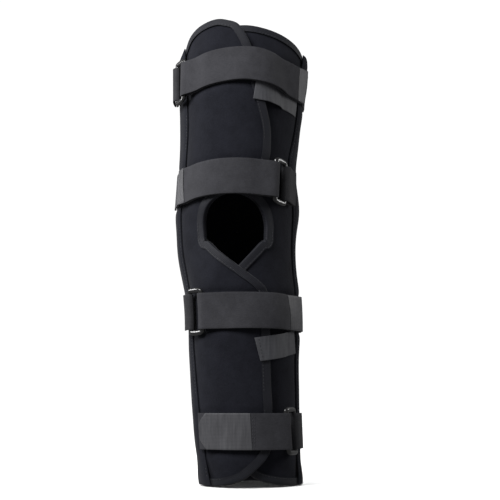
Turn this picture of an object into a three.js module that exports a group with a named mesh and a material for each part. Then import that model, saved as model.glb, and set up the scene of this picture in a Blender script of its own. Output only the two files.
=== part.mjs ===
// Knee immobilizer: a three-panel foam sleeve for the leg, closed by four straps with loops.
// Its two front flaps lap over the shin and the thigh and leave an opening for the kneecap.
// Millimetres, +Z up, the front towards -Y. The origin is the knee's centre on the leg's axis.
import * as THREE from "three";

// Driving sizes of the sleeve
const THIGH_LENGTH = 228;
const CALF_LENGTH = 278;
const KNEE_WIDTH = 118;
const KNEE_DEPTH = 124;
const FOAM_THICKNESS = 4.5;
const FLAP_LAP = 22;
const OPENING_WIDTH = 68;
const OPENING_TOP = 32;
const OPENING_TIP = 48;
const POPLITEAL_BULGE = 6;
const BACK_RISE = 8;

// Driving sizes of what is sewn on it
const BINDING_WIDTH = 7;
const BINDING_THICKNESS = 0.8;
const CASING_WIDTH = 30;
const CASING_EDGE = 1.2;
const CASING_CROWN = 3.2;
const STRAP_WIDTH = 38;
const STRAP_THICKNESS = 1.8;
const HOOK_LENGTH = 58;
const HOOK_THICKNESS = 2;
const HOOK_TIP_WIDTH = 16;
const HOOK_TIP_LENGTH = 8;
const LOOP_LENGTH = 22;
const LOOP_BAR = 4.6;
const LOOP_BAR_THICKNESS = 3.2;
const LOOP_PLAY = 1.1;
const TAB_THICKNESS = 1.6;
const CLOSURE_WIDTH = 25;
const CLOSURE_THICKNESS = 1.5;

// Clearances between neighbouring pieces
const CLEARANCE = 0.35;
const BINDING_GAP = 0.56;
const LIP_FLARE = 0.32;
const SEWN_GAP = 0.3;
const LAY_GAP = 0.6;

// How finely the sheets and ribbons are divided
const FLAP_COLUMNS = 9;
const BACK_COLUMNS = 13;
const BACK_EASE = 0.07;
const CASING_ROWS = 28;
const RIBBON_STEP = 9.5;
const MOST_STEPS = 40;
const SHORTEST_STEP = 1.5;
const FAR = 1000;

// A height on the leg as a share of the thigh length above the knee, or the calf length below it.
function level(share) {
  return share * (share > 0 ? THIGH_LENGTH : CALF_LENGTH);
}

// The leg's sections: sideways shift and width in knee widths, front and back in knee depths.
const LEG_FORM = [
  { height: -1.04, shift: 0.14, width: 0.79, front: 0.34, back: 0.405 },
  { height: -0.8, shift: 0.1, width: 0.85, front: 0.365, back: 0.47 },
  { height: -0.54, shift: 0.072, width: 0.89, front: 0.405, back: 0.54 },
  { height: -0.3, shift: 0.058, width: 0.925, front: 0.445, back: 0.575 },
  { height: -0.108, shift: 0.002, width: 0.983, front: 0.485, back: 0.51 },
  { height: 0.066, shift: -0.008, width: 1.0, front: 0.515, back: 0.485 },
  { height: 0.285, shift: 0.007, width: 0.983, front: 0.53, back: 0.565 },
  { height: 0.53, shift: 0.027, width: 1.042, front: 0.53, back: 0.645 },
  { height: 0.77, shift: 0.041, width: 1.093, front: 0.505, back: 0.72 },
  { height: 1.05, shift: 0.051, width: 1.136, front: 0.42, back: 0.78 },
];

// How far round each side casing's front edge lies, as a share of the quarter turn to the side.
const CASING_PLACE = [
  { height: -1.04, left: 0.54, right: 0.79 },
  { height: -0.72, left: 0.6, right: 0.86 },
  { height: -0.48, left: 0.68, right: 0.84 },
  { height: -0.28, left: 0.72, right: 0.83 },
  { height: -0.09, left: 0.755, right: 0.84 },
  { height: 0.1, left: 0.74, right: 0.83 },
  { height: 0.3, left: 0.635, right: 0.69 },
  { height: 0.47, left: 0.6, right: 0.76 },
  { height: 0.68, left: 0.61, right: 0.785 },
  { height: 0.82, left: 0.64, right: 0.81 },
  { height: 1.05, left: 0.78, right: 0.86 },
];

// The rims: heights as shares, over places round the leg as shares of the quarter turn.
const OUTER_RIM = [
  { turn: -1.2, height: 0.82 },
  { turn: -0.88, height: 0.838 },
  { turn: -0.77, height: 0.858 },
  { turn: -0.67, height: 0.916 },
  { turn: -0.56, height: 0.955 },
  { turn: -0.42, height: 0.982 },
  { turn: -0.22, height: 0.999 },
  { turn: -0.12, height: 0.986 },
  { turn: -0.04, height: 0.968 },
];
const UNDER_RIM = [
  { turn: -0.2, height: 0.963 },
  { turn: 0.04, height: 0.974 },
  { turn: 0.24, height: 0.964 },
  { turn: 0.48, height: 0.941 },
  { turn: 0.71, height: 0.908 },
  { turn: 0.84, height: 0.886 },
  { turn: 1.2, height: 0.845 },
];

// A smooth curve through the rows of a table, read by height or by turn.
function curveThrough(rows, places, ...columns) {
  const values = rows.flatMap((row) => columns.map((column) => column(row)));
  const curve = new THREE.CubicInterpolant(rows.map(places), values, columns.length);
  return (place) => [...curve.evaluate(place)];
}

const sectionAt = curveThrough(
  LEG_FORM,
  (row) => level(row.height),
  (row) => row.shift * KNEE_WIDTH,
  (row) => (row.width * KNEE_WIDTH) / 2,
  (row) => row.front * KNEE_DEPTH,
  (row) => row.back * KNEE_DEPTH,
);
const casingPlaceAt = curveThrough(
  CASING_PLACE,
  (row) => level(row.height),
  (row) => row.left,
  (row) => row.right,
);
const outerRimAt = curveThrough(OUTER_RIM, (row) => row.turn, (row) => level(row.height));
const underRimAt = curveThrough(UNDER_RIM, (row) => row.turn, (row) => level(row.height));

// Arc lengths from the middle of the front to the middle of the back, in steps of one angle.
const ARC_STEPS = 90;
const arcTables = new Map();
function arcTable(z) {
  const key = z.toFixed(2);
  if (!arcTables.has(key)) {
    const [, side, front, back] = sectionAt(z);
    const arcs = [0];
    for (let i = 1; i <= ARC_STEPS; i++) {
      const angle = (Math.PI * (i - 0.5)) / ARC_STEPS;
      const depth = Math.cos(angle) > 0 ? front : back;
      const speed = Math.hypot(side * Math.cos(angle), depth * Math.sin(angle));
      arcs.push(arcs[i - 1] + (speed * Math.PI) / ARC_STEPS);
    }
    arcTables.set(key, arcs);
  }
  return arcTables.get(key);
}
const halfGirth = (z) => arcTable(z)[ARC_STEPS];
const quarterTurn = (z) => arcTable(z)[ARC_STEPS / 2];

// The angle round the leg at a distance s along the section, from the front towards +X.
function angleAt(s, z) {
  const half = halfGirth(z);
  const round = s - 2 * half * Math.round(s / (2 * half));
  const arcs = arcTable(z);
  let step = 1;
  while (step < ARC_STEPS && arcs[step] < Math.abs(round)) step++;
  const part = (Math.abs(round) - arcs[step - 1]) / (arcs[step] - arcs[step - 1]);
  return (Math.sign(round) * Math.PI * (step - 1 + Math.min(part, 1))) / ARC_STEPS;
}

// The fold that bunches behind the knee, fullest at the viewer's right.
const BULGE = { angle: 1.85, spread: 0.5, height: 28, rise: 30 };
function bulge(angle, z) {
  const round = (angle - BULGE.angle) / BULGE.spread;
  const up = (z - BULGE.height) / BULGE.rise;
  return POPLITEAL_BULGE * Math.exp(-(round ** 2) - up ** 2);
}

// The point that lies s round the leg at height z, and out by d from the leg's surface.
function point(s, z, d) {
  const [shift, side, front, back] = sectionAt(z);
  const angle = angleAt(s, z);
  const depth = Math.cos(angle) > 0 ? front : back;
  const normal = new THREE.Vector2(Math.sin(angle) / side, -Math.cos(angle) / depth);
  normal.setLength(d + bulge(angle, z));
  const x = shift + side * Math.sin(angle) + normal.x;
  return new THREE.Vector3(x, -depth * Math.cos(angle) + normal.y, z);
}

// Outlines are lists of flat places: x is the distance round the leg, y the height.
const flat = (s, z) => new THREE.Vector2(s, z);

function distanceToLine(place, line) {
  let nearest = Infinity;
  for (let i = 1; i < line.length; i++) {
    const along = line[i].clone().sub(line[i - 1]);
    const to = place.clone().sub(line[i - 1]);
    const share = THREE.MathUtils.clamp(to.dot(along) / along.lengthSq(), 0, 1);
    nearest = Math.min(nearest, to.distanceTo(along.multiplyScalar(share)));
  }
  return nearest;
}

// How far a place lies outside a closed outline, and 0 inside it.
function distanceOutside(place, outline) {
  let inside = false;
  outline.forEach((a, i) => {
    const b = outline[(i + 1) % outline.length];
    const crosses = a.y > place.y !== b.y > place.y;
    if (crosses && place.x < a.x + ((b.x - a.x) * (place.y - a.y)) / (b.y - a.y)) {
      inside = !inside;
    }
  });
  return inside ? 0 : distanceToLine(place, [...outline, outline[0]]);
}

// What lies on something slopes down from its edge by this much, starting this far past it.
const SLOPE = 0.4;
const EDGE_MARGIN = 4;
const BINDING_MARGIN = 13;

// The offset that a piece must keep at a place to lie on all the pieces beneath it.
function seat(place, beneath) {
  const heights = beneath.map((piece) => {
    const margin = piece.margin ?? EDGE_MARGIN;
    const past = Math.max(0, distanceOutside(place, piece.outline) - margin);
    return piece.top(place) - SLOPE * past;
  });
  return Math.max(FOAM_THICKNESS, ...heights);
}

// A closed solid between two sheets of points that have the same rows and columns.
function solidBetween(outer, inner) {
  const rows = outer.length;
  const columns = outer[0].length;
  const positions = [...outer.flat(), ...inner.flat()].flatMap((p) => [p.x, p.y, p.z]);
  const at = (row, column, sheet) => sheet * rows * columns + row * columns + column;
  const faces = [];
  const quad = (a, b, c, d) => faces.push(a, b, c, a, c, d);
  for (let j = 1; j < rows; j++) {
    for (let i = 1; i < columns; i++) {
      quad(at(j - 1, i - 1, 0), at(j, i - 1, 0), at(j, i, 0), at(j - 1, i, 0));
      quad(at(j - 1, i - 1, 1), at(j - 1, i, 1), at(j, i, 1), at(j, i - 1, 1));
    }
  }
  for (let i = 1; i < columns; i++) {
    const last = rows - 1;
    quad(at(0, i - 1, 0), at(0, i, 0), at(0, i, 1), at(0, i - 1, 1));
    quad(at(last, i - 1, 0), at(last, i - 1, 1), at(last, i, 1), at(last, i, 0));
  }
  for (let j = 1; j < rows; j++) {
    const last = columns - 1;
    quad(at(j - 1, 0, 0), at(j - 1, 0, 1), at(j, 0, 1), at(j, 0, 0));
    quad(at(j - 1, last, 0), at(j, last, 0), at(j, last, 1), at(j - 1, last, 1));
  }
  return facingOut(positions, faces);
}

// A closed ring swept through sections that each hold the same number of points.
function ringThrough(sections) {
  const size = sections[0].length;
  const faces = [];
  sections.forEach((_, j) => {
    const next = (j + 1) % sections.length;
    for (let i = 0; i < size; i++) {
      const k = (i + 1) % size;
      const corners = [j * size + i, next * size + i, next * size + k, j * size + k];
      faces.push(corners[0], corners[1], corners[2], corners[0], corners[2], corners[3]);
    }
  });
  return facingOut(sections.flat().flatMap((p) => [p.x, p.y, p.z]), faces);
}

function facingOut(positions, faces) {
  const corner = (i) => new THREE.Vector3().fromArray(positions, 3 * faces[i]);
  let volume = 0;
  for (let i = 0; i < faces.length; i += 3) {
    volume += corner(i).dot(corner(i + 1).cross(corner(i + 2)));
  }
  const geometry = new THREE.BufferGeometry();
  geometry.setAttribute("position", new THREE.Float32BufferAttribute(positions, 3));
  geometry.setIndex(volume > 0 ? faces : faces.reverse());
  geometry.computeVertexNormals();
  return geometry;
}

const MATERIALS = {
  foam: { color: 0x1d1e22, roughness: 0.92, metalness: 0 },
  binding: { color: 0x24252a, roughness: 0.85, metalness: 0 },
  casing: { color: 0x222329, roughness: 0.88, metalness: 0 },
  strap: { color: 0x3b3b3f, roughness: 0.7, metalness: 0 },
  hook: { color: 0x55565b, roughness: 0.55, metalness: 0 },
  loop: { color: 0x0c0c0d, roughness: 0.25, metalness: 0 },
};
const immobilizer = new THREE.Group();
immobilizer.name = "knee_immobilizer";
function add(name, geometry, material) {
  const mesh = new THREE.Mesh(geometry, new THREE.MeshStandardMaterial(MATERIALS[material]));
  mesh.name = name;
  immobilizer.add(mesh);
}

// Distance round the leg of a side casing's front edge, and of the seam under its middle.
function casingEdge(side, z) {
  const [left, right] = casingPlaceAt(z);
  return side * (side < 0 ? left : right) * quarterTurn(z);
}
const seamAt = (side, z) => casingEdge(side, z) + (side * CASING_WIDTH) / 2;
const HEM = -CALF_LENGTH;
const RIM_LEVEL = 0.93;
const turnAtRim = (s) => s / quarterTurn(level(RIM_LEVEL));

// The two flaps mirror each other but for their rims and their upper edges.
const FLAPS = {
  outer: {
    side: -1,
    rim: (s) => outerRimAt(turnAtRim(s))[0],
    cornerTurn: OUTER_RIM.at(-1).turn,
    upperEdge: [
      { height: 0.85, lap: 0.4 },
      { height: 0.67, lap: 0.75 },
      { height: 0.5, lap: 1.2 },
      { height: 0.4, lap: 1.32 },
      { height: 0.31, lap: 1.28 },
    ],
  },
  under: {
    side: 1,
    rim: (s) => underRimAt(turnAtRim(s))[0],
    cornerTurn: UNDER_RIM[0].turn,
    upperEdge: [
      { height: 0.85, lap: 1 },
      { height: 0.67, lap: 1 },
      { height: 0.5, lap: 1 },
      { height: 0.4, lap: 1 },
      { height: 0.31, lap: 0.95 },
    ],
  },
};

// A flap's free edge from its top corner down to its hem, measured past the middle of the leg.
function freeEdge(flap) {
  const corner = flap.cornerTurn * quarterTurn(level(RIM_LEVEL));
  const upper = flap.upperEdge.map((row) => flat(row.lap * FLAP_LAP, level(row.height)));
  upper.unshift(flat(-flap.side * corner, flap.rim(corner)));
  const half = OPENING_WIDTH / 2;
  const middle = -0.1 * OPENING_TIP;
  const rise = OPENING_TOP - middle;
  const arc = new THREE.EllipseCurve(0, middle, half, rise, 1.82, 3.32);
  const arcStart = arc.getPoint(0);
  const last = upper.at(-1);
  const intoArc = new THREE.CubicBezierCurve(
    last,
    flat(last.x, last.y - 0.7 * half),
    flat(arcStart.x + 0.65 * half, arcStart.y + 0.2 * half),
    arcStart,
  );
  const arcEnd = arc.getPoint(1);
  const tipLine = (lap) => flat(lap, -OPENING_TIP - lap);
  const tipStart = tipLine(-0.8 * half);
  const tipEnd = tipLine(0.7 * FLAP_LAP);
  const lower = flat(FLAP_LAP, -OPENING_TIP - 1.4 * FLAP_LAP);
  const hemStart = flat(FLAP_LAP, 0.81 * HEM);
  const hemTurn = flat(0.88 * FLAP_LAP, 0.892 * HEM);
  const hemCorner = flat(-0.04 * FLAP_LAP, 0.953 * HEM);
  const pieces = [
    [new THREE.SplineCurve(upper), 8],
    [intoArc, 4],
    [arc, 6],
    [new THREE.QuadraticBezierCurve(arcEnd, flat(-half, -0.62 * half), tipStart), 3],
    [new THREE.LineCurve(tipStart, tipEnd), 6],
    [new THREE.QuadraticBezierCurve(tipEnd, tipLine(FLAP_LAP), lower), 2],
    [new THREE.LineCurve(lower, hemStart), 6],
    [new THREE.QuadraticBezierCurve(hemStart, hemTurn, hemCorner), 3],
  ];
  const places = [upper[0]];
  for (const [curve, count] of pieces) places.push(...curve.getPoints(count).slice(1));
  return places.map((place) => flat(-flap.side * place.x, place.y));
}

// Rows and columns of flat places that blend four edges, each edge a list from its first corner.
function blendEdges(left, right, top, bottom) {
  const lerp = (a, b, share) => a.clone().lerp(b, share);
  return left.map((start, j) => {
    const down = (right[0].y - right[j].y) / (right[0].y - right.at(-1).y);
    return top.map((place, i) => {
      const along = (place.x - top[0].x) / (top.at(-1).x - top[0].x);
      const across = lerp(start, right[j], along);
      const between = lerp(top[i], bottom[i], down);
      const upper = lerp(top[0], top.at(-1), along);
      return across.add(between).sub(upper.lerp(lerp(bottom[0], bottom.at(-1), along), down));
    });
  });
}

// A curve's places with one for each column of a sheet.
const spread = (columns, place) =>
  Array.from({ length: columns + 1 }, (_, i) => place(i / columns));

// The height at which a seam meets the rim that it rises to.
function seamTop(side, rim) {
  let z = level(RIM_LEVEL);
  for (let i = 0; i < 12; i++) z = rim(seamAt(side, z));
  return z;
}

function flapGrid(flap) {
  const edge = freeEdge(flap);
  const seam = (z) => flat(seamAt(flap.side, z) - (flap.side * SEWN_GAP) / 2, z);
  const top = seamTop(flap.side, flap.rim);
  const fall = (HEM - top) / (edge.at(-1).y - edge[0].y);
  const left = edge.map((place) => seam(top + (place.y - edge[0].y) * fall));
  const rim = spread(FLAP_COLUMNS, (share) => {
    const s = THREE.MathUtils.lerp(left[0].x, edge[0].x, share);
    return flat(s, flap.rim(s));
  });
  const corner = edge.at(-1);
  const belly = flat(corner.x + flap.side * 0.16 * quarterTurn(HEM), HEM);
  const hem = new THREE.QuadraticBezierCurve(left.at(-1), belly, corner);
  return blendEdges(left, edge, rim, spread(FLAP_COLUMNS, (share) => hem.getPoint(share)));
}

// The back panel goes round from the right seam to the left one, so its places pass the back.
// Its rows are the flaps' rows, so that the edges at each seam run side by side.
function backGrid(underGrid, outerGrid) {
  const right = underGrid.map(([place]) => flat(place.x + SEWN_GAP, place.y));
  const left = outerGrid.map(([place]) => {
    return flat(2 * halfGirth(place.y) + place.x - SEWN_GAP, place.y);
  });
  const closerAtSeams = (share) => share - BACK_EASE * Math.sin(2 * Math.PI * share);
  const rim = spread(BACK_COLUMNS, (share) => {
    const place = right[0].clone().lerp(left[0], closerAtSeams(share));
    return place.setY(place.y + BACK_RISE * Math.sin(Math.PI * share));
  });
  const hem = spread(BACK_COLUMNS, (share) => {
    return right.at(-1).clone().lerp(left.at(-1), closerAtSeams(share));
  });
  return blendEdges(right, left, rim, hem);
}

const underGrid = flapGrid(FLAPS.under);
const outerGrid = flapGrid(FLAPS.outer);
const grids = { outer: outerGrid, under: underGrid, back: backGrid(underGrid, outerGrid) };
const lastOf = (rows) => rows.map((row) => row.at(-1));
const outlineOf = (grid) => [
  ...grid[0],
  ...lastOf(grid).slice(1),
  ...[...grid.at(-1)].reverse().slice(1),
  ...grid.map((row) => row[0]).reverse().slice(1, -1),
];
const boundEdge = (grid) => [
  ...grid[0],
  ...lastOf(grid).slice(1),
  ...[...grid.at(-1)].reverse().slice(1),
];

// The outer flap lifts over the under flap by its foam and both their bindings.
const PROUD = BINDING_GAP + BINDING_THICKNESS + LIP_FLARE;
const LIFT = FOAM_THICKNESS + 2 * PROUD + 2 * CLEARANCE;
const LIFT_RAMP = 52;
const underOutline = outlineOf(grids.under);
const onLeg = () => 0;
function lift(place) {
  const past = Math.max(0, distanceOutside(place, underOutline) - EDGE_MARGIN);
  return LIFT * THREE.MathUtils.smoothstep(1 - past / LIFT_RAMP, 0, 1);
}

// What a sheet offers to the pieces that lie on it: its foam, and its binding near the edges.
function sheetTop(base, edges) {
  return (place) => {
    const from = Math.min(...edges.map((edge) => distanceToLine(place, edge)));
    const past = Math.max(0, from - BINDING_WIDTH - BINDING_MARGIN);
    return base(place) + FOAM_THICKNESS + Math.max(0, PROUD - SLOPE * past);
  };
}
const backEdges = [grids.back[0], grids.back.at(-1)];
const unwrap = (place) => (place.x < 0 ? flat(place.x + 2 * halfGirth(place.y), place.y) : place);
const backTop = sheetTop(onLeg, backEdges);
const everywhere = [flat(-FAR, -FAR), flat(FAR, -FAR), flat(FAR, FAR), flat(-FAR, FAR)];
const SHEETS = {
  outer: { outline: outlineOf(grids.outer), top: sheetTop(lift, [boundEdge(grids.outer)]) },
  under: { outline: underOutline, top: sheetTop(onLeg, [boundEdge(grids.under)]) },
  back: { outline: everywhere, top: (place) => backTop(unwrap(place)) },
};

function panel(grid, base) {
  const sheet = (offset) =>
    grid.map((row) => row.map((place) => point(place.x, place.y, base(place) + offset)));
  return solidBetween(sheet(FOAM_THICKNESS), sheet(0));
}

// A tape folded over a sheet's edge: each station is a channel square to the edge. It stops a
// little short of the seams at the edge's two ends.
const SHORT_OF_SEAM = 0.15;
const SHARPEST_MITRE = 0.6;
function binding(edge, turn, base) {
  const ends = [
    edge[0].clone().lerp(edge[1], SHORT_OF_SEAM),
    edge.at(-1).clone().lerp(edge.at(-2), SHORT_OF_SEAM),
  ];
  const line = [ends[0], ...edge.slice(1, -1), ends[1]];
  const normal = (a, b) => flat(turn * (a.y - b.y), turn * (b.x - a.x)).normalize();
  // The channel's profile: how far in from the edge, and how far off the foam's nearer face.
  const wall = [
    { inward: BINDING_WIDTH, off: LIP_FLARE, face: FOAM_THICKNESS, sign: 1 },
    { inward: 0, off: 0, face: FOAM_THICKNESS, sign: 1 },
    { inward: 0, off: 0, face: 0, sign: -1 },
    { inward: BINDING_WIDTH, off: LIP_FLARE, face: 0, sign: -1 },
  ];
  const profile = (gap) =>
    wall.map(({ inward, off, face, sign }) => [inward || -gap, face + sign * (off + gap)]);
  const outer = profile(BINDING_GAP + BINDING_THICKNESS);
  const inner = profile(BINDING_GAP);
  const stations = line.map((place, i) => {
    const before = i > 0 ? normal(line[i - 1], place) : normal(place, line[1]);
    const after = i < line.length - 1 ? normal(place, line[i + 1]) : before;
    const into = before.clone().add(after).normalize();
    into.multiplyScalar(1 / Math.max(SHARPEST_MITRE, into.dot(before)));
    return ([inward, offset]) => {
      const at = place.clone().addScaledVector(into, inward);
      return point(at.x, at.y, base(at) + offset);
    };
  });
  return solidBetween(
    stations.map((station) => outer.map(station)),
    stations.map((station) => inner.map(station)),
  );
}

add("back_panel", panel(grids.back, onLeg), "foam");
add("under_flap", panel(grids.under, onLeg), "foam");
add("outer_flap", panel(grids.outer, lift), "foam");
add("under_flap_binding", binding(boundEdge(grids.under), 1, onLeg), "binding");
add("outer_flap_binding", binding(boundEdge(grids.outer), -1, lift), "binding");
add("back_rim_binding", binding(grids.back[0], -1, onLeg), "binding");
add("back_hem_binding", binding(grids.back.at(-1), 1, onLeg), "binding");

// A side casing lies over the seam and holds a stay, so its middle is the thickest.
const CASING_PROFILE = [
  { share: 0, thickness: CASING_EDGE },
  { share: 0.18, thickness: 0.92 * CASING_CROWN },
  { share: 0.5, thickness: CASING_CROWN },
  { share: 0.82, thickness: 0.92 * CASING_CROWN },
  { share: 1, thickness: CASING_EDGE },
];
function casing(flap) {
  const { side, rim } = flap;
  const beneath = [SHEETS.outer, SHEETS.under, SHEETS.back];
  const overBinding = (BINDING_WIDTH + EDGE_MARGIN) / (THIGH_LENGTH + CALF_LENGTH);
  const shares = spread(CASING_ROWS, (share) => {
    return THREE.MathUtils.lerp(overBinding, 1 - overBinding, share);
  });
  const places = [0, ...shares, 1].map((down) =>
    CASING_PROFILE.map(({ share }) => {
      const offset = side * share * CASING_WIDTH;
      const top = rim(casingEdge(side, level(RIM_LEVEL)) + offset);
      const z = THREE.MathUtils.lerp(top, HEM, down);
      return flat(casingEdge(side, z) + offset, z);
    }),
  );
  const base = (place) => seat(place, beneath) + LAY_GAP;
  const sheet = (thickness) =>
    places.map((row) =>
      row.map((place, i) => point(place.x, place.y, base(place) + thickness(CASING_PROFILE[i]))),
    );
  const column = (i) => places.map((row) => row[i]);
  return {
    solid: solidBetween(sheet((row) => row.thickness), sheet(() => 0)),
    outline: [...column(0), ...column(CASING_PROFILE.length - 1).reverse()],
    top: (place) => base(place) + CASING_CROWN,
  };
}
const CASINGS = { left: casing(FLAPS.outer), right: casing(FLAPS.under) };
add("left_stay_casing", CASINGS.left.solid, "casing");
add("right_stay_casing", CASINGS.right.solid, "casing");

// Places between two distances, none further apart than one step.
function stepsBetween(from, to, step) {
  const count = Math.max(1, Math.ceil(Math.abs(to - from) / step));
  return spread(count, (share) => THREE.MathUtils.lerp(from, to, share));
}

// Stations from one distance to another, on a row of steps that plies over each other share.
function stations(from, to, origin, extra = []) {
  const way = Math.sign(to - from);
  const marks = [...extra];
  for (let i = 0; i <= MOST_STEPS; i++) {
    const past = EDGE_MARGIN + i * RIBBON_STEP;
    marks.push(origin - past, origin + past);
  }
  marks.push(origin);
  const between = marks.filter((mark) => {
    return (mark - from) * way > SHORTEST_STEP && (to - mark) * way > SHORTEST_STEP;
  });
  return [from, ...between.sort((a, b) => way * (a - b)), to];
}

// The two short tapes of hook fabric that close the flaps, each from one end to the other.
const CLOSURES = [
  {
    name: "upper_closure_tab",
    from: { turn: 0.13, height: 0.638 },
    to: { turn: 0.74, height: 0.61 },
  },
  {
    name: "lower_closure_tab",
    from: { turn: 0.14, height: -0.487 },
    to: { turn: 0.78, height: -0.45 },
  },
];
const CLOSURE_STEP = 6.4;
function closure({ name, from, to }) {
  const end = ({ turn, height }) => flat(turn * quarterTurn(level(height)), level(height));
  const start = end(from);
  const along = end(to).sub(start);
  const length = along.length();
  along.normalize();
  const up = flat(-along.y, along.x);
  const at = (a, w) => start.clone().addScaledVector(along, a).addScaledVector(up, w);
  const widths = [-0.5, 0, 0.5].map((share) => share * CLOSURE_WIDTH);
  const base = (place) => seat(place, [SHEETS.outer, SHEETS.under]) + LAY_GAP;
  const sheet = (offset) =>
    stepsBetween(0, length, CLOSURE_STEP).map((a) =>
      widths.map((w) => point(at(a, w).x, at(a, w).y, base(at(a, w)) + offset)),
    );
  add(name, solidBetween(sheet(CLOSURE_THICKNESS), sheet(0)), "hook");
  const outline = [at(0, widths[0]), at(length, widths[0]), at(length, widths[2]), at(0, widths[2])];
  const margin = STRAP_WIDTH / 2 - EDGE_MARGIN;
  return { outline, margin, top: (place) => base(place) + CLOSURE_THICKNESS };
}
const CLOSED = CLOSURES.map(closure);

// The straps from the top: the height of each on the front, how far it drops towards the sides,
// the place of its loop and of the seam where its hook end starts, as shares of the quarter turn,
// and whether the loop's tab starts behind the side casing instead of in front of it.
const STRAPS = [
  { name: "upper_thigh", height: 0.757, droop: 10, loop: -0.645, joint: 0.67, behind: true },
  { name: "lower_thigh", height: 0.21, droop: 4, loop: 0.42, joint: -0.555, behind: false },
  { name: "upper_calf", height: -0.339, droop: 0, loop: -0.505, joint: 0.565, behind: false },
  { name: "lower_calf", height: -0.794, droop: 0, loop: 0.555, joint: 0.05, behind: false },
];
const DROOP_REACH = 0.7;
const TURN_CLEARANCE = LOOP_BAR_THICKNESS / 2 + CLEARANCE;
const TURN_REACH = LOOP_BAR / 2 + CLEARANCE;
const ACROSS = [-0.5, 0, 0.5];

// A strap's own way round the leg: its middle's height, and points on it by distance and width.
function wayOf(strap) {
  const quarter = quarterTurn(level(strap.height));
  const middle = (s) => {
    const reach = Math.min(Math.abs(s) / (DROOP_REACH * quarter), 1);
    return level(strap.height) - strap.droop * Math.sin((reach * Math.PI) / 2) ** 2;
  };
  const place = (s, w) => flat(s, middle(s) + w);
  const at = (s, w, d) => point(s, middle(s) + w, d);
  const stretch = (s, d) => at(s, 0, d).distanceTo(at(s + 1, 0, d));
  return { quarter, place, at, stretch };
}

// A ribbon that comes in under a bar, turns round it and goes back over itself.
// `reach` is the way its two plies leave the bar: 1 towards +s, -1 towards -s.
function turnedRibbon({ way, bar, barLevel, reach, ends, levels, thickness }) {
  const stretch = way.stretch(bar, barLevel);
  const arc = [-45, 0, 45].map((degrees) => THREE.MathUtils.degToRad(degrees));
  const onArc = (angle, proud) => (w) => {
    const s = bar - (reach * (TURN_REACH + proud) * Math.cos(angle)) / stretch;
    return way.at(s, w, barLevel + (TURN_CLEARANCE + proud) * Math.sin(angle));
  };
  const ply = (level, s, side) => (w) => way.at(s, w, level(s, w) + side * thickness);
  const lower = stations(ends.lower, bar, bar, [ends.upper]);
  const upper = stations(bar, ends.upper, bar, [ends.lower]);
  const near = [
    ...lower.map((s) => ply(levels.lower, s, 1)),
    ...arc.map((angle) => onArc(angle, 0)),
    ...upper.map((s) => ply(levels.upper, s, 0)),
  ];
  const far = [
    ...lower.map((s) => ply(levels.lower, s, 0)),
    ...arc.map((angle) => onArc(angle, thickness)),
    ...upper.map((s) => ply(levels.upper, s, 1)),
  ];
  const sheet = (stations) =>
    stations.map((station) => ACROSS.map((share) => station(share * STRAP_WIDTH)));
  return solidBetween(sheet(near), sheet(far));
}

// A level that stays off what lies beneath, and off a bar's level near the bar.
function rampedFrom(bar, barLevel, base) {
  return (s, w) => {
    const past = Math.max(0, Math.abs(s - bar) - EDGE_MARGIN);
    return Math.max(base(s, w), barLevel - SLOPE * past);
  };
}

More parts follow.
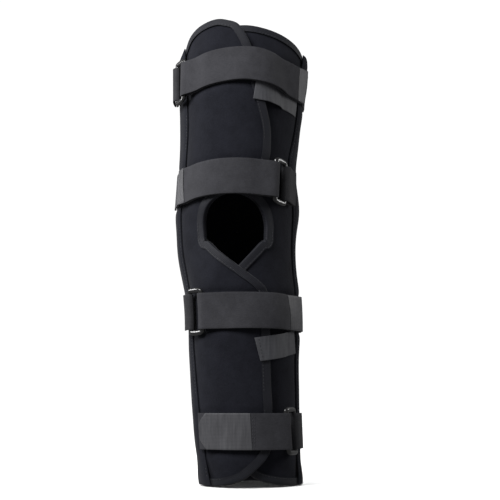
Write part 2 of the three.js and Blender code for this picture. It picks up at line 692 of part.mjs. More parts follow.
function strapSet(strap) {
  const way = wayOf(strap);
  const side = Math.sign(strap.loop);
  const sheets = [SHEETS.outer, SHEETS.under, SHEETS.back, CASINGS.left, CASINGS.right, ...CLOSED];
  const beside = ACROSS.map((share) => (share * STRAP_WIDTH) / 2);
  const laid = (beneath) => (s, w) => {
    return Math.max(...beside.map((off) => seat(way.place(s, w + off), beneath))) + LAY_GAP;
  };
  const onSheets = laid(sheets);
  const middle = strap.loop * way.quarter;
  const z = way.place(middle, 0).y;

  // The bars are seated on what lies under them, with one ply and its turn below each.
  const around = [-EDGE_MARGIN, 0, EDGE_MARGIN];
  const highest = (s) => {
    const levels = around.flatMap((off) => {
      return ACROSS.map((share) => onSheets(s + off, share * STRAP_WIDTH));
    });
    return Math.max(...levels);
  };
  const halfLoop = (LOOP_LENGTH - LOOP_BAR) / 2;
  const perMillimetre = side / way.stretch(middle, highest(middle));
  const barAt = (sign) => middle + sign * halfLoop * perMillimetre;
  const near = { s: barAt(-1) };
  const far = { s: barAt(1) };
  near.level = highest(near.s) + STRAP_THICKNESS + TURN_CLEARANCE;
  far.level = highest(far.s) + TAB_THICKNESS + TURN_CLEARANCE;

  const farEdge = casingEdge(-side, level(strap.height));
  const start = farEdge + side * SEWN_GAP;
  const lowerPly = rampedFrom(near.s, near.level - TURN_CLEARANCE - STRAP_THICKNESS, onSheets);
  const layer = {
    outline: [flat(start, -FAR), flat(near.s, -FAR), flat(near.s, FAR), flat(start, FAR)],
    top: (place) => lowerPly(place.x, place.y - way.place(place.x, 0).y) + STRAP_THICKNESS,
  };
  const onLayer = laid([...sheets, layer]);
  const upperPly = rampedFrom(near.s, near.level + TURN_CLEARANCE, onLayer);
  const joint = strap.joint * way.quarter;
  add(
    `${strap.name}_strap`,
    turnedRibbon({
      way,
      bar: near.s,
      barLevel: near.level,
      reach: -side,
      ends: { lower: start, upper: joint },
      levels: { lower: lowerPly, upper: upperPly },
      thickness: STRAP_THICKNESS,
    }),
    "strap",
  );

  const tip = joint - (side * HOOK_LENGTH) / way.stretch(joint, onLayer(joint, 0));
  const shoulder = tip + (side * HOOK_TIP_LENGTH) / way.stretch(joint, onLayer(joint, 0));
  const hookStations = [...stations(joint - side * SEWN_GAP, shoulder, near.s, [start]), tip];
  const hookSheet = (offset) =>
    hookStations.map((s) => {
      const width = s === tip ? HOOK_TIP_WIDTH : STRAP_WIDTH;
      return ACROSS.map((share) => way.at(s, share * width, upperPly(s, share * width) + offset));
    });
  add(`${strap.name}_hook_end`, solidBetween(hookSheet(HOOK_THICKNESS), hookSheet(0)), "hook");

  const edge = casingEdge(side, z);
  const anchor = strap.behind ? edge + side * CASING_WIDTH : edge - side * SEWN_GAP;
  const tabLower = rampedFrom(far.s, far.level - TURN_CLEARANCE - TAB_THICKNESS, onSheets);
  const tabUpper = rampedFrom(far.s, far.level + TURN_CLEARANCE, (s, w) => {
    return tabLower(s, w) + TAB_THICKNESS + CLEARANCE;
  });
  add(
    `${strap.name}_loop_tab`,
    turnedRibbon({
      way,
      bar: far.s,
      barLevel: far.level,
      reach: side,
      ends: { lower: anchor, upper: anchor },
      levels: { lower: tabLower, upper: tabUpper },
      thickness: TAB_THICKNESS,
    }),
    "strap",
  );
  add(`${strap.name}_loop`, loop(way, near, far), "loop");
}

// The wire-like loop: a rounded rectangle round the strap and its tab.
const LOOP_SIDES = 6;
const LOOP_CORNER = 3;
function loop(way, near, far) {
  const halfLength = (LOOP_LENGTH - LOOP_BAR) / 2 - LOOP_CORNER;
  const halfWidth = STRAP_WIDTH / 2 + LOOP_PLAY + LOOP_BAR / 2 - LOOP_CORNER;
  const corners = [[1, 1], [-1, 1], [-1, -1], [1, -1]];
  const stations = corners.flatMap(([a, w], i) => {
    const turned = [0, 45, 90].map((degrees) => {
      const angle = THREE.MathUtils.degToRad(degrees + 90 * i);
      return { a: a * halfLength, w: w * halfWidth, angle };
    });
    if (i % 2 === 0) return turned;
    const alongBar = [1, -1].map((sign) => ({ ...turned[2], w: (sign * w * halfWidth) / 3 }));
    return [...turned, ...alongBar];
  });
  return ringThrough(
    stations.map(({ a, w, angle }) => {
      return spread(LOOP_SIDES - 1, (turned) => {
        const around = 2 * Math.PI * turned * ((LOOP_SIDES - 1) / LOOP_SIDES);
        const out = LOOP_CORNER + (LOOP_BAR / 2) * Math.cos(around);
        const share = (length) => 0.5 + (a + length * Math.cos(angle)) / (LOOP_LENGTH - LOOP_BAR);
        const s = THREE.MathUtils.lerp(near.s, far.s, share(out));
        const barLevel = THREE.MathUtils.lerp(near.level, far.level, share(LOOP_CORNER));
        const proud = (LOOP_BAR_THICKNESS / 2) * Math.sin(around);
        return way.at(s, w + out * Math.sin(angle), barLevel + proud);
      });
    }),
  );
}
STRAPS.forEach(strapSet);

export default immobilizer;
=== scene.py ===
# %% [markdown]
# A knee immobilizer is a foam sleeve that keeps the knee straight after an injury. It has a
# back panel and two front flaps, bound with tape, a stay in a casing along each side, and four
# straps that each run through a plastic loop and back over themselves. This lesson dresses the
# solid model of one in Blender: every cloth piece starts from its plain solid, is turned into
# quads, rounded and swollen the way foam and webbing are, and then gets a fabric of its own.

# %% Load the frame
import math

import bmesh
import bpy
import numpy as np
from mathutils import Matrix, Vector, noise
from mathutils.bvhtree import BVHTree
from mathutils.kdtree import KDTree


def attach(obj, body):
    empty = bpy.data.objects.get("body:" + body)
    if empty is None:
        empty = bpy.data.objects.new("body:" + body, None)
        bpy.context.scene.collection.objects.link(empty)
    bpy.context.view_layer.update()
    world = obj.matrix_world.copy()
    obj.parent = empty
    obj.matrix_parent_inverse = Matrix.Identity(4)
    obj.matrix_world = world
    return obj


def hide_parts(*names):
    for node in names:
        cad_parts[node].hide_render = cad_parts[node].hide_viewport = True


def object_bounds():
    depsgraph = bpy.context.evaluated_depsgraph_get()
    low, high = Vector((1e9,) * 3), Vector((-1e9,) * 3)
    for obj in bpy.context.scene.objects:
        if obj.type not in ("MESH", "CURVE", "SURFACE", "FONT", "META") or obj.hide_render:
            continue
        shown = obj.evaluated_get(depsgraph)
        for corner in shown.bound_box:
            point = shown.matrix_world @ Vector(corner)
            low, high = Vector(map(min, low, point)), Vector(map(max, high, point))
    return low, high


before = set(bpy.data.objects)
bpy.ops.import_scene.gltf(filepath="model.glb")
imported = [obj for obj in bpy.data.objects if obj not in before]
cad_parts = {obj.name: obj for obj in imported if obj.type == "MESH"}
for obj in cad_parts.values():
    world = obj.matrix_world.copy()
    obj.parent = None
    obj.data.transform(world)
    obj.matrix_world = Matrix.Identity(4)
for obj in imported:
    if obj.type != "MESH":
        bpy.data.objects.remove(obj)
cad_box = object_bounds()
LOW, HIGH = cad_box
print("solid model", [round((b - a) * 1000) for a, b in zip(LOW, HIGH)], "mm")

# %% [markdown]
# The photograph looks slightly up at the front of the brace from below the knee, from more than
# a metre away. A long lens at that distance keeps the two sides of the sleeve almost parallel.

# %% Camera
CAMERA_PLACE = Vector((0.015, -1.158, -0.190))
CAMERA_TARGET = Vector((0.015, 0.0, -0.020))
LENS = 74.5

bpy.ops.object.select_all(action="DESELECT")
bpy.ops.object.camera_add(location=CAMERA_PLACE)
camera = bpy.context.object
camera.name = "camera"
camera.data.lens = LENS
camera.data.sensor_width = 36
camera.rotation_euler = (CAMERA_TARGET - CAMERA_PLACE).to_track_quat("-Z", "Y").to_euler()
bpy.context.scene.camera = camera
print("camera", round((CAMERA_TARGET - CAMERA_PLACE).length, 3), "m from its target")

# %% [markdown]
# Three small helpers come first. Operators act on everything that is selected, so `only` leaves
# one object selected, `in_edit_mode` runs steps on it in edit mode, and `apply_modifier` adds a
# modifier and applies it at once.

# %% Select one object
def only(piece):
    if bpy.context.object and bpy.context.object.mode != "OBJECT":
        bpy.ops.object.mode_set(mode="OBJECT")
    bpy.ops.object.select_all(action="DESELECT")
    piece.select_set(True)
    bpy.context.view_layer.objects.active = piece
    return piece


def in_edit_mode(piece, *steps):
    only(piece)
    bpy.ops.object.mode_set(mode="EDIT")
    bpy.ops.mesh.select_mode(type="EDGE")
    for step in steps:
        step()
    bpy.ops.object.mode_set(mode="OBJECT")


def apply_modifier(piece, kind, **settings):
    only(piece)
    modifier = piece.modifiers.new(kind.lower(), kind)
    for setting, value in settings.items():
        setattr(modifier, setting, value)
    bpy.ops.object.modifier_apply(modifier=modifier.name)


# %% [markdown]
# A soft piece is started from its solid. The solid's mesh is loose triangles, so the copy's
# doubled points are merged first and its triangles are joined back into the rows of quads that
# they came from. Subdivision needs quads: on triangles it leaves puckers.

# %% Copy a solid as quads
MERGE_DISTANCE = 0.00002
GRID_PREFERENCE = 1.5


def quad_copy(node, name):
    only(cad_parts[node])
    bpy.ops.object.duplicate()
    piece = bpy.context.object
    piece.name = name
    piece.data.name = name
    for key in list(piece.keys()):
        del piece[key]
    piece.parent = None
    piece.data.materials.clear()
    in_edit_mode(
        piece,
        lambda: bpy.ops.mesh.select_all(action="SELECT"),
        lambda: bpy.ops.mesh.remove_doubles(threshold=MERGE_DISTANCE),
        lambda: bpy.ops.mesh.tris_convert_to_quads(
            face_threshold=math.pi,
            shape_threshold=math.pi,
            topology_influence=GRID_PREFERENCE,
        ),
    )
    return piece


# %% [markdown]
# Webbing keeps its square edges while it bends smoothly along its length. A crease on an edge
# tells the subdivision to keep it, and the edges that need one are found by their angle.

# %% Crease the edges that stay sharp
SHARP = math.radians(50)


def crease_sharp(piece):
    in_edit_mode(
        piece,
        lambda: bpy.ops.mesh.select_all(action="DESELECT"),
        lambda: bpy.ops.mesh.edges_select_sharp(sharpness=SHARP),
        lambda: bpy.ops.transform.edge_crease(value=1),
    )


def bevel(piece, width, segments=2):
    apply_modifier(
        piece, "BEVEL", width=width, segments=segments, limit_method="ANGLE", angle_limit=SHARP
    )


# %% [markdown]
# A subdivision surface cuts the corners of the mesh that it starts from, so a sleeve made of a
# few wide faces would come out too thin for the leg. Here the points are first moved out by as
# much as the smooth surface falls short of them. The smooth surface then runs through the
# points of the solid, which lie on the sleeve's true curve.

# %% Subdivide through the solid's points
FITTING_ROUNDS = 3


def subdivide(piece, levels):
    apply_modifier(
        piece, "SUBSURF", levels=levels, render_levels=levels, boundary_smooth="PRESERVE_CORNERS"
    )


def places_of(piece):
    places = np.empty(len(piece.data.vertices) * 3)
    piece.data.vertices.foreach_get("co", places)
    return places.reshape(-1, 3)


def subdivide_through(piece, levels):
    goal = places_of(piece)
    cage = goal.copy()
    for fitting in range(FITTING_ROUNDS):
        only(piece)
        bpy.ops.object.duplicate()
        trial = bpy.context.object
        subdivide(trial, 2)
        cage += goal - places_of(trial)[: len(goal)]
        bpy.data.objects.remove(trial)
        piece.data.vertices.foreach_set("co", cage.ravel())
        piece.data.update()
    subdivide(piece, levels)


# %% [markdown]
# A binding is folded over the edge of the foam. The two edges of its fold are rounded, and its
# thin lips stay sharp. A fold edge is told from a lip by the faces beside it: both are wide.

# %% Round the folds of a tape
WIDE_FACE = 0.003
FOLD_RADIUS = 0.0022


def face_width(face):
    return face.calc_area() / max(edge.calc_length() for edge in face.edges)


def round_folds(piece):
    in_edit_mode(piece, lambda: bpy.ops.mesh.select_all(action="DESELECT"))
    mesh = bmesh.new()
    mesh.from_mesh(piece.data)
    folds = 0
    for edge in mesh.edges:
        if edge.is_convex and edge.calc_face_angle() > SHARP:
            if min(face_width(face) for face in edge.link_faces) > WIDE_FACE:
                edge.select = True
                folds += 1
    mesh.to_mesh(piece.data)
    mesh.free()
    in_edit_mode(
        piece,
        lambda: bpy.ops.mesh.bevel(offset=FOLD_RADIUS, segments=2, affect="EDGES"),
    )
    print(piece.name, "has", folds, "fold edges")


# %% [markdown]
# Foam gives under a strap and swells beside it. How much depends on the distance to the nearest
# strap, so the straps' own solids are put in one search tree and asked. The same rule moves the
# foam, its bindings and the casings, straight out from the leg, so they keep their order.

# %% Swell the foam beside the straps
STRAPS = ("upper_thigh", "lower_thigh", "upper_calf", "lower_calf")
SWELL = 0.0011
SWELL_FROM = 0.0022
SWELL_WIDTH = 0.007
WAVE = 0.0005
WAVE_LENGTH = 0.035


def strap_tree():
    points = []
    faces = []
    for strap in STRAPS:
        for part in ("strap", "hook_end"):
            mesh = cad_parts[f"{strap}_{part}"].data
            first = len(points)
            points += [vertex.co.copy() for vertex in mesh.vertices]
            faces += [[first + i for i in face.vertices] for face in mesh.polygons]
    return BVHTree.FromPolygons(points, faces)


near_straps = strap_tree()


def swell(piece):
    most = 0.0
    for vertex in piece.data.vertices:
        away = near_straps.find_nearest(vertex.co)[3]
        past = max(0.0, away - SWELL_FROM) / SWELL_WIDTH
        rise = SWELL * past * math.exp(1 - past)
        ripple = noise.noise(vertex.co / WAVE_LENGTH) * WAVE * min(past / 2, 1)
        out = Vector((vertex.co.x, vertex.co.y, 0)).normalized()
        vertex.co += out * (rise + ripple)
        most = max(most, rise)
    piece.data.update()
    print(piece.name, "swells by up to", round(most * 1000, 2), "mm")


# %% [markdown]
# Woven and brushed patterns follow the cloth round the leg, so each piece gets a map in real
# metres: across is the way round the leg and up is the height.

# %% Map a piece round the leg
SMOOTH_BELOW = math.radians(40)


def wrap_map(piece):
    mesh = piece.data
    places = places_of(piece)
    radius = np.hypot(places[:, 0], places[:, 1])
    around = np.arctan2(places[:, 0], -places[:, 1]) * radius.mean()
    corners = np.empty(len(mesh.loops), dtype=np.int32)
    mesh.loops.foreach_get("vertex_index", corners)
    layer = mesh.uv_layers.get("wrap") or mesh.uv_layers.new(name="wrap")
    flat = np.stack([around[corners], places[corners, 2]], axis=1)
    layer.data.foreach_set("uv", flat.ravel())


def finish_piece(piece, node, material):
    only(piece)
    bpy.ops.object.shade_smooth_by_angle(angle=SMOOTH_BELOW)
    piece.data.materials.append(material)
    wrap_map(piece)
    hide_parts(node)
    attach(piece, "root")
    return piece


# %% [markdown]
# Every cloth finish is built the same way: a colour that varies a little, a rough surface with a
# sheen from its loose fibres, and bumps at the real size of the weave. `Cloth` keeps the nodes of
# one material while it is built, so that each finish below reads as a short recipe.

# %% Build cloth materials
class Cloth:
    def __init__(self, name):
        self.material = bpy.data.materials.new(name)
        self.material.use_nodes = True
        self.nodes = self.material.node_tree.nodes
        self.links = self.material.node_tree.links
        self.shader = self.nodes["Principled BSDF"]
        self.height = None

    def node(self, kind, **settings):
        made = self.nodes.new("ShaderNode" + kind)
        for setting, value in settings.items():
            if setting in made.inputs:
                made.inputs[setting].default_value = value
            else:
                setattr(made, setting, value)
        return made

    def places(self, space, scale=(1, 1, 1)):
        coordinates = self.node("TexCoord")
        mapping = self.node("Mapping")
        mapping.inputs["Scale"].default_value = scale
        if space == "Object":
            self.links.new(coordinates.outputs["Object"], mapping.inputs["Vector"])
        else:
            own = self.node("UVMap", uv_map="wrap")
            self.links.new(own.outputs["UV"], mapping.inputs["Vector"])
        return mapping.outputs["Vector"]

    def grain(self, size, detail=2.0, space="Object", stretch=(1, 1, 1)):
        texture = self.node("TexNoise", Scale=1.0, Detail=detail, Roughness=0.6)
        scale = tuple(way / size for way in stretch)
        self.links.new(self.places(space, scale), texture.inputs["Vector"])
        return texture.outputs["Fac"]

    def ribs(self, size, direction="X", distortion=0.0, space="wrap"):
        texture = self.node("TexWave", wave_type="BANDS", bands_direction=direction, Scale=1.0)
        texture.inputs["Distortion"].default_value = distortion
        texture.inputs["Detail"].default_value = 1.0
        # At scale 1, one band of this texture is a tenth of pi wide.
        band = math.pi / 10
        scale = tuple([band / size] * 3)
        self.links.new(self.places(space, scale), texture.inputs["Vector"])
        return texture.outputs["Fac"]

    def raise_by(self, source, distance, strength=1.0):
        bump = self.node("Bump", Strength=strength, Distance=distance)
        self.links.new(source, bump.inputs["Height"])
        if self.height:
            self.links.new(self.height, bump.inputs["Normal"])
        self.height = bump.outputs["Normal"]
        self.links.new(self.height, self.shader.inputs["Normal"])

    def colour(self, source, dark, light, low=0.3, high=0.7):
        ramp = self.node("ValToRGB")
        ramp.color_ramp.elements[0].position = low
        ramp.color_ramp.elements[0].color = (*dark, 1)
        ramp.color_ramp.elements[1].position = high
        ramp.color_ramp.elements[1].color = (*light, 1)
        self.links.new(source, ramp.inputs["Fac"])
        self.links.new(ramp.outputs["Color"], self.shader.inputs["Base Color"])

    def mixed(self, first, second, share):
        mix = self.node("Mix", data_type="FLOAT")
        mix.inputs["Factor"].default_value = share
        self.links.new(first, mix.inputs["A"])
        self.links.new(second, mix.inputs["B"])
        return mix.outputs["Result"]

    def surface(self, roughness, sheen=0.0, sheen_roughness=0.5, specular=0.3):
        self.shader.inputs["Roughness"].default_value = roughness
        self.shader.inputs["Sheen Weight"].default_value = sheen
        self.shader.inputs["Sheen Roughness"].default_value = sheen_roughness
        self.shader.inputs["Specular IOR Level"].default_value = specular
        return self.material


# %% [markdown]
# The panels are faced with a brushed loop fabric: a short matt nap with no visible weave, a
# little bluish in the light, with faint clouds where the nap lies another way.

# %% Brushed facing of the foam
def brushed_facing(name, dark, light):
    cloth = Cloth(name)
    clouds = cloth.grain(0.016, detail=3)
    nap = cloth.grain(0.0011, detail=2)
    cloth.colour(cloth.mixed(clouds, nap, 0.45), dark, light)
    cloth.raise_by(nap, 0.00025)
    cloth.raise_by(cloth.grain(0.007, detail=2), 0.0006, 0.6)
    return cloth.surface(roughness=0.9, sheen=0.18, sheen_roughness=0.3, specular=0.2)


BRUSHED = brushed_facing("brushed_facing", (0.0090, 0.0096, 0.0145), (0.0190, 0.0202, 0.0290))
CASING = brushed_facing("casing_facing", (0.0120, 0.0127, 0.0180), (0.0245, 0.0258, 0.0345))

# %% [markdown]
# The bindings are a ribbed stretch tape, smoother and a little shinier than the facing.

# %% Stretch tape of the bindings
def stretch_tape():
    cloth = Cloth("stretch_tape")
    rib = cloth.ribs(0.0011, "DIAGONAL", distortion=0.5)
    shade = cloth.mixed(rib, cloth.grain(0.002), 0.5)
    cloth.colour(shade, (0.0095, 0.0101, 0.0150), (0.0205, 0.0217, 0.0300))
    cloth.raise_by(rib, 0.00018, 0.7)
    cloth.raise_by(cloth.grain(0.008, detail=2), 0.0005, 0.6)
    return cloth.surface(roughness=0.65, sheen=0.08, sheen_roughness=0.4, specular=0.35)


TAPE = stretch_tape()

# %% [markdown]
# The straps are soft loop webbing, lighter and greyer than the foam. Its brushed loops run
# along the strap in fine broken lines.

# %% Loop webbing of the straps
def loop_webbing(name, dark, light, along=0.004, across=0.0006):
    cloth = Cloth(name)
    lines = cloth.grain(1.0, detail=3, space="wrap", stretch=(1 / along, 1 / across, 1))
    fuzz = cloth.grain(0.0011, detail=3)
    clouds = cloth.grain(0.012, detail=2)
    shade = cloth.mixed(cloth.mixed(lines, fuzz, 0.5), clouds, 0.35)
    cloth.colour(shade, dark, light)
    cloth.raise_by(fuzz, 0.00035, 0.8)
    cloth.raise_by(lines, 0.0002, 0.6)
    return cloth.surface(roughness=0.8, sheen=0.10, sheen_roughness=0.4, specular=0.25)


STRAP_WEBBING = loop_webbing("strap_webbing", (0.032, 0.032, 0.037), (0.068, 0.068, 0.078))
TAB_WEBBING = loop_webbing(
    "tab_webbing", (0.022, 0.022, 0.025), (0.056, 0.056, 0.062), along=0.0025, across=0.0016
)

# %% [markdown]
# Hook fabric is a stiff tape covered with tiny plastic hooks in rows. From a distance it is a
# smooth grey with a satin shine. The upright streaks of sheen along its rows are painted into
# the colour as lighter and darker streaks, a painted sheen.

# %% Hook fabric
def hook_fabric(name, dark, light, roughness):
    cloth = Cloth(name)
    rows = cloth.ribs(0.0014, "X")
    columns = cloth.ribs(0.0014, "Y")
    hooks = cloth.mixed(rows, columns, 0.35)
    # Painted sheen: upright light and dark streaks mixed into the colour, standing in for the shine
    # along the rows.
    painted_sheen_streaks = cloth.grain(1.0, detail=2, space="wrap", stretch=(1 / 0.0035, 1 / 0.030, 1))
    cloth.colour(cloth.mixed(hooks, painted_sheen_streaks, 0.65), dark, light)
    cloth.raise_by(hooks, 0.00022, 0.7)
    return cloth.surface(roughness=roughness, sheen=0.05, sheen_roughness=0.3, specular=0.5)


HOOK = hook_fabric("hook_fabric", (0.060, 0.060, 0.067), (0.120, 0.120, 0.131), 0.5)
CLOSURE_HOOK = hook_fabric("closure_hook_fabric", (0.055, 0.056, 0.064), (0.110, 0.112, 0.125), 0.6)

# %% [markdown]
# The loops are moulded from black nylon: glossy, with a faint orange-peel texture.

# %% Glossy nylon and sewing thread
def glossy_nylon():
    cloth = Cloth("glossy_nylon")
    cloth.colour(cloth.grain(0.003), (0.012, 0.012, 0.013), (0.020, 0.020, 0.021))
    cloth.raise_by(cloth.grain(0.0012), 0.00003, 0.4)
    cloth.shader.inputs["Coat Weight"].default_value = 0.6
    cloth.shader.inputs["Coat Roughness"].default_value = 0.15
    return cloth.surface(roughness=0.28, specular=0.6)


def sewing_thread():
    cloth = Cloth("sewing_thread")
    twist = cloth.ribs(0.0007, "DIAGONAL", space="Object")
    cloth.colour(twist, (0.030, 0.031, 0.037), (0.075, 0.076, 0.086))
    cloth.raise_by(twist, 0.00005)
    return cloth.surface(roughness=0.5, sheen=0.05, specular=0.3)


NYLON = glossy_nylon()
THREAD = sewing_thread()

# %% [markdown]
# Bindings and casings are sewn down along their edges. Their solids are strips of quads, so the
# line of a seam can be found by walking: an end corner has three edges, and from there the walk
# leaves each point by the edge that shares no face with the one it came in on. The long walks
# are the strip's edges. A seam lies a little way in from such an edge.

# %% Find the long edges of a strip
MOST_ROWS = 400
FEWEST_ROWS = 4


def walk(corner, edge):
    steps = [corner]
    point = edge.other_vert(corner)
    while len(point.link_edges) == 4 and len(steps) < MOST_ROWS:
        steps.append(point)
        beside = set(edge.link_faces)
        onward = [way for way in point.link_edges if not beside & set(way.link_faces)]
        if not onward:
            break
        edge = onward[0]
        point = edge.other_vert(point)
    return steps + [point]


def strip_edges(node):
    copy = quad_copy(node, "strip")
    mesh = bmesh.new()
    mesh.from_mesh(copy.data)
    bpy.data.objects.remove(copy)
    found = {}
    for corner in mesh.verts:
        if len(corner.link_edges) == 3:
            longest = max((walk(corner, edge) for edge in corner.link_edges), key=len)
            found[frozenset((longest[0].index, longest[-1].index))] = longest
    print(node, "walks of", sorted(len(steps) for steps in found.values()), "points")
    strips = [along_strip(steps) for steps in found.values() if len(steps) > FEWEST_ROWS]
    mesh.free()
    return sorted(strips, key=lambda strip: -np.hypot(strip[0][:, 0], strip[0][:, 1]).mean())


def along_strip(steps):
    edge_points = []
    inward = []
    for point in steps[1:-1]:
        across = [way for way in point.link_edges if way.other_vert(point) not in steps]
        far = max(across, key=lambda way: way.calc_length()).other_vert(point)
        edge_points.append(point.co.copy())
        inward.append((far.co - point.co).normalized())
    return np.array(edge_points), np.array(inward)


# %% [markdown]
# The walk gives one point per row of quads. A smooth line is run through the points, dropped
# on to the finished cloth, and pulled a little into it, as a tight seam is.

# %% Lay a seam on the cloth
SEAM_STEP = 0.0015
SEAM_DEPTH = 0.0004
SEAM_WIDTH = 0.0012


def smooth_line(points):
    before = np.vstack([2 * points[0] - points[1], points[:-1]])
    after = np.vstack([points[1:], 2 * points[-1] - points[-2]])
    tangents = (after - before) / 2
    line = []
    for first in range(len(points) - 1):
        length = np.linalg.norm(points[first + 1] - points[first])
        steps = max(2, round(length / SEAM_STEP))
        for step in range(steps):
            t = step / steps
            line.append(
                (2 * t**3 - 3 * t**2 + 1) * points[first]
                + (t**3 - 2 * t**2 + t) * tangents[first]
                + (3 * t**2 - 2 * t**3) * points[first + 1]
                + (t**3 - t**2) * tangents[first + 1]
            )
    return np.array(line)


def cloth_tree(piece):
    points = [vertex.co for vertex in piece.data.vertices]
    return BVHTree.FromPolygons(points, [list(face.vertices) for face in piece.data.polygons])


def on_cloth(piece, line, proud):
    tree = cloth_tree(piece)
    laid = []
    for place in line:
        spot, normal, index, away = tree.find_nearest(Vector(place))
        laid.append(spot + normal * proud)
    return laid


def sink(piece, line):
    tree = KDTree(len(line))
    for index, place in enumerate(line):
        tree.insert(Vector(place), index)
    tree.balance()
    normals = [vertex.normal.copy() for vertex in piece.data.vertices]
    for vertex, normal in zip(piece.data.vertices, normals):
        away = tree.find(vertex.co)[2]
        if away < SEAM_WIDTH * 3:
            vertex.co -= normal * SEAM_DEPTH * math.exp(-((away / SEAM_WIDTH) ** 2))
    piece.data.update()


# %% [markdown]
# One stitch is a short bead of thread. It is modelled once, repeated along the seam by an
# array that fits the seam's length, and bent round it by a curve modifier.

# %% Sew a seam
THREAD_RADIUS = 0.00036
STITCH_LENGTH = 0.0027
STITCH_PITCH = 0.0036


def curve_through(points):
    data = bpy.data.curves.new("seam", "CURVE")
    data.dimensions = "3D"
    data.twist_mode = "MINIMUM"
    spline = data.splines.new("POLY")
    spline.points.add(len(points) - 1)
    for target, place in zip(spline.points, points):
        target.co = (*place, 1)
    seam = bpy.data.objects.new("seam", data)
    bpy.context.scene.collection.objects.link(seam)
    return seam


def sew(name, piece, line, radius=THREAD_RADIUS):
    seam = curve_through(on_cloth(piece, line, radius * 0.2))
    bpy.ops.object.select_all(action="DESELECT")
    bpy.ops.mesh.primitive_uv_sphere_add(segments=6, ring_count=4, radius=1)
    stitch = bpy.context.object
    stitch.name = name
    stitch.data.name = name
    in_edit_mode(
        stitch,
        lambda: bpy.ops.mesh.select_all(action="SELECT"),
        lambda: bpy.ops.transform.rotate(
            value=math.pi / 2, orient_axis="Y", center_override=(0, 0, 0)
        ),
        lambda: bpy.ops.transform.resize(value=(STITCH_LENGTH / 2, radius, radius)),
    )
    apply_modifier(
        stitch,
        "ARRAY",
        fit_type="FIT_CURVE",
        curve=seam,
        use_relative_offset=False,
        use_constant_offset=True,
        constant_offset_displace=(STITCH_PITCH, 0, 0),
    )
    apply_modifier(stitch, "CURVE", object=seam, deform_axis="POS_X")
    bpy.data.objects.remove(seam)
    bpy.ops.object.shade_smooth()
    stitch.data.materials.append(THREAD)
    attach(stitch, "root")
    return stitch


def sew_strip(node, piece, which, inset):
    strips = strip_edges(node)
    seams = []
    for number in which:
        edge_points, inward = strips[number]
        line = smooth_line(edge_points + inward * inset)
        sink(piece, line)
        seams.append(line)
    return [
        sew(f"{node}_seam_{number}", piece, line) for number, line in enumerate(seams, 1)
    ]


# %% [markdown]
# A few seams cross a tape where its end is sewn down. Each is a straight row over the front,
# so its points are found by looking at the tape from the front along that row.

# %% Sew a row over the front
ROW_STEPS = 60
ROW_MARGIN = 4


def sew_row(name, piece, start, end):
    tree = cloth_tree(piece)
    hits = []
    for step in range(ROW_STEPS + 1):
        x, z = np.array(start) + (np.array(end) - np.array(start)) * step / ROW_STEPS
        spot = tree.ray_cast(Vector((x, -1, z)), Vector((0, 1, 0)))[0]
        if spot and spot.y < 0:
            hits.append(spot)
    line = np.array(hits[ROW_MARGIN:-ROW_MARGIN])
    return sew(name, piece, line)


# %% [markdown]
# Every tape was cut from a roll of a known width. Half of a flat tape's surface is its length
# times its width and thickness together, so the modelled surface gives the length that it was
# cut to. Here only that half of the surface is measured, and it is not kept.

# %% Measure half of a tape's surface
def cut_from_roll(piece, width, thickness, held, rests_on, seams=()):
    mesh = bmesh.new()
    mesh.from_mesh(piece.data)
    half = sum(face.calc_area() for face in mesh.faces) / 2
    mesh.free()


# %% [markdown]
# The three foam panels are slabs of laminated foam. Their cut edges stay square inside the
# bindings, and their faces are smoothed and then swollen beside the straps.

# %% Foam panels
PANELS = {"back_panel": 2, "under_flap": 3, "outer_flap": 3}
for node, levels in PANELS.items():
    panel = quad_copy(node, node + "_foam")
    crease_sharp(panel)
    subdivide_through(panel, levels)
    swell(panel)
    finish_piece(panel, node, BRUSHED)
    print(panel.name, len(panel.data.polygons), "faces")

# %% [markdown]
# A binding is a tape folded over the edge of the foam and sewn through both layers.

# %% Bindings
BINDING_SEAM = 0.0014
BINDING_CUT = (0.0204, 0.0008)
BINDINGS = ("under_flap_binding", "outer_flap_binding", "back_rim_binding", "back_hem_binding")
for node in BINDINGS:
    tape = quad_copy(node, node + "_tape")
    round_folds(tape)
    crease_sharp(tape)
    subdivide_through(tape, 2)
    swell(tape)
    seams = sew_strip(node, tape, (0, 3), BINDING_SEAM)
    finish_piece(tape, node, TAPE)
    bound = node.replace("_rim", "_panel").replace("_hem", "_panel").removesuffix("_binding")
    cut_from_roll(tape, *BINDING_CUT, "folded", [bound], seams)

# %% [markdown]
# The casings are long sleeves of the facing cloth over the side seams, with a flat stay inside.

# %% Side casings
CASING_SEAM = 0.0022
CASING_CUT = (0.030, 0.0022)
CASING_BEVEL = 0.0006

for node in ("left_stay_casing", "right_stay_casing"):
    sleeve = quad_copy(node, node + "_sleeve")
    crease_sharp(sleeve)
    subdivide_through(sleeve, 4)
    bevel(sleeve, CASING_BEVEL)
    swell(sleeve)
    seams = sew_strip(node, sleeve, (0, 1), CASING_SEAM)
    finish_piece(sleeve, node, CASING)
    cut_from_roll(sleeve, *CASING_CUT, "laid", ["back_panel"], seams)

# %% [markdown]
# Straps, hook ends and tabs are flat tapes. They keep their edges, and a small bevel takes the
# hardness off.

# %% Flat tapes
def flat_tape(node, name, material, levels=3, round_edge=0.0005):
    tape = quad_copy(node, name)
    crease_sharp(tape)
    subdivide_through(tape, levels)
    bevel(tape, round_edge)
    return finish_piece(tape, node, material)


STRAP_JOINT_ROWS = (0.0155, 0.0178, 0.0200)
STRAP_CUT = (0.038, 0.0018)
HOOK_CUT = (0.038, 0.0020)
TAB_CUT = (0.038, 0.0016)
CLOSURE_CUT = (0.025, 0.0015)
WORN_OVER = ["outer_flap", "under_flap", "back_panel"]

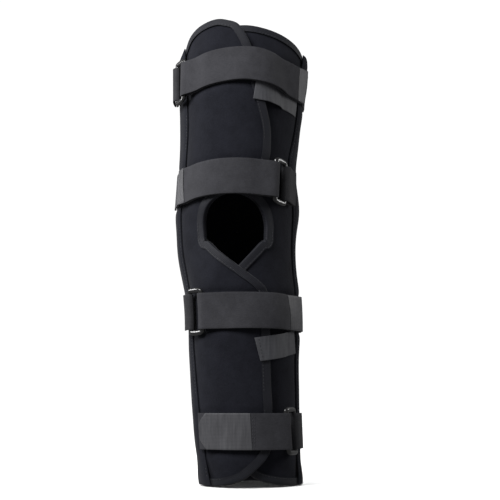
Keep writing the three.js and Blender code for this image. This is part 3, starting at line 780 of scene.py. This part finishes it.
for strap in STRAPS:
    webbing = flat_tape(f"{strap}_strap", f"{strap}_webbing", STRAP_WEBBING)
    rows = []
    if strap == "lower_calf":
        for number, x in enumerate(STRAP_JOINT_ROWS, 1):
            name = f"{strap}_strap_seam_{number}"
            rows.append(sew_row(name, webbing, (x, -0.190), (x, -0.250)))
    cut_from_roll(webbing, *STRAP_CUT, "stretched", WORN_OVER, rows)
    hook = flat_tape(f"{strap}_hook_end", f"{strap}_hook_tape", HOOK)
    cut_from_roll(hook, *HOOK_CUT, "laid", [f"{strap}_strap"])
    tab = flat_tape(f"{strap}_loop_tab", f"{strap}_loop_webbing", TAB_WEBBING)
    cut_from_roll(tab, *TAB_CUT, "folded", [f"{strap}_loop"])

CLOSURE_ROWS = {
    "upper": [((0.0172, 0.170), (0.0182, 0.130))],
    "lower": [((0.0180, -0.119), (0.0245, -0.151)), ((0.0233, -0.119), (0.0298, -0.151))],
}
for place, ends in CLOSURE_ROWS.items():
    node = f"{place}_closure_tab"
    tab = flat_tape(node, f"{place}_closure_hook_tape", CLOSURE_HOOK)
    rows = [
        sew_row(f"{node}_seam_{number}", tab, start, end)
        for number, (start, end) in enumerate(ends, 1)
    ]
    cut_from_roll(tab, *CLOSURE_CUT, "laid", ["under_flap"], rows)

# %% [markdown]
# The loops are bent nylon rods, a little fatter than their six-sided solids.

# %% Loops
LOOP_FATTEN = 0.0006
for strap in STRAPS:
    rod = quad_copy(f"{strap}_loop", f"{strap}_loop_rod")
    in_edit_mode(
        rod,
        lambda: bpy.ops.mesh.select_all(action="SELECT"),
        lambda: bpy.ops.transform.shrink_fatten(value=LOOP_FATTEN),
    )
    subdivide_through(rod, 2)
    finish_piece(rod, f"{strap}_loop", NYLON)

# %% [markdown]
# In a studio the brace stands well in front of a white backdrop that has lamps of its own, so
# the backdrop is far brighter than the light that comes back from it. Here the surround is
# white to the camera and dim to everything else, which keeps the shadows of the dark cloth.

# %% White surround
BACKDROP = 1.05
AMBIENT = 0.16

world = bpy.data.worlds.new("surround")
bpy.context.scene.world = world
world.use_nodes = True
background = world.node_tree.nodes["Background"]
background.inputs["Color"].default_value = (1, 1, 1, 1)
light_path = world.node_tree.nodes.new("ShaderNodeLightPath")
level = world.node_tree.nodes.new("ShaderNodeMapRange")
level.inputs["To Min"].default_value = AMBIENT
level.inputs["To Max"].default_value = BACKDROP
world.node_tree.links.new(light_path.outputs["Is Camera Ray"], level.inputs["Value"])
world.node_tree.links.new(level.outputs["Result"], background.inputs["Strength"])

# %% [markdown]
# The floor is white paper at the lower rim. A wide sun from straight above lights nothing but
# the paper, so it is as white as the backdrop, and the brace still shades it where it stands.

# %% Floor
FLOOR_SIZE = 60
FLOOR_GAP = 0.0003
PAPER_LIGHT = 3.6

bpy.ops.object.select_all(action="DESELECT")
bpy.ops.mesh.primitive_plane_add(size=FLOOR_SIZE, location=(0, 0, LOW.z - FLOOR_GAP))
floor = bpy.context.object
floor.name = "floor"
floor.visible_diffuse = False
floor.visible_glossy = False
paper = bpy.data.materials.new("white_paper")
paper.use_nodes = True
paper.node_tree.nodes["Principled BSDF"].inputs["Base Color"].default_value = (0.9, 0.9, 0.9, 1)
paper.node_tree.nodes["Principled BSDF"].inputs["Roughness"].default_value = 0.9
floor.data.materials.append(paper)

only_paper = bpy.data.collections.new("only_paper")
only_paper.objects.link(floor)
bpy.ops.object.select_all(action="DESELECT")
bpy.ops.object.light_add(type="SUN", location=(0, 0, 2))
paper_sun = bpy.context.object
paper_sun.name = "paper_sun"
paper_sun.data.energy = PAPER_LIGHT
paper_sun.data.angle = math.radians(120)
paper_sun.light_linking.receiver_collection = only_paper

# %% [markdown]
# A softbox high on the left lights the front and leaves the right side in shade. Two small
# ones at the sides are there for the glossy loops, which only show by what they reflect.

# %% Softboxes
def softbox(name, place, target, size, watts):
    bpy.ops.object.select_all(action="DESELECT")
    bpy.ops.object.light_add(type="AREA", location=place)
    light = bpy.context.object
    light.name = name
    light.data.size = size
    light.data.energy = watts
    aim = Vector(target) - Vector(place)
    light.rotation_euler = aim.to_track_quat("-Z", "Y").to_euler()
    print(name, round(aim.length, 2), "m away,", watts, "W")


softbox("key_softbox", (-0.70, -0.98, 0.80), (0, 0, 0), 0.6, 18)
softbox("left_softbox", (-1.4, 0.3, 0.4), (0, 0, 0), 0.45, 8)
softbox("right_softbox", (1.4, 0.4, 0.4), (0, 0, 0), 0.45, 4)
bpy.context.scene.view_settings.view_transform = "Standard"
